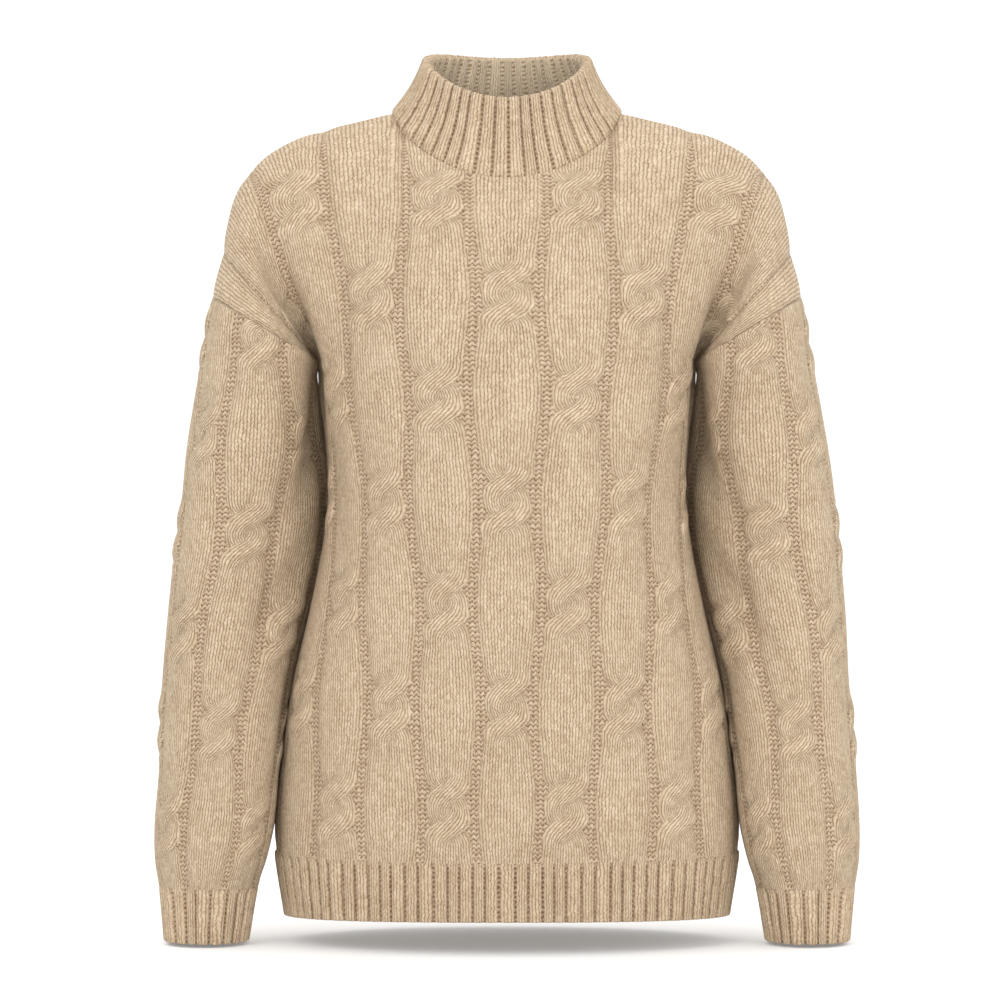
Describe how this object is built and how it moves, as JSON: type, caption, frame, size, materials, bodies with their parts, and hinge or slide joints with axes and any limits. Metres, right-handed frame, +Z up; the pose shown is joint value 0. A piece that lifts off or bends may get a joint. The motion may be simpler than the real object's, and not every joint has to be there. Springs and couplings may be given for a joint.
{
  "type": "cable knit sweater",
  "caption": "Chunky cable knit wool sweater with ribbed funnel collar, dropped shoulders, long sleeves and ribbed hem and cuffs, filled out and hollow.",
  "frame": {"origin": "middle of the neck base, level with the points where the shoulder seams meet the collar; the wearer's shoulders hold the sweater here", "axes": "+Z up, the front faces -Y, +X to the right as seen from the front"},
  "size_m": [0.5514, 0.2312, 0.6884],
  "materials": {
    "knit": "soft oatmeal wool, cable knit",
    "rib": "soft oatmeal wool, ribbed"
  },
  "bodies": {
    "root": {"front": "knit", "back": "knit", "sleeve_left": "knit", "sleeve_right": "knit", "collar": "rib", "hem_front": "rib", "hem_back": "rib", "cuff_left": "rib", "cuff_right": "rib"}
  },
  "joints": []
}
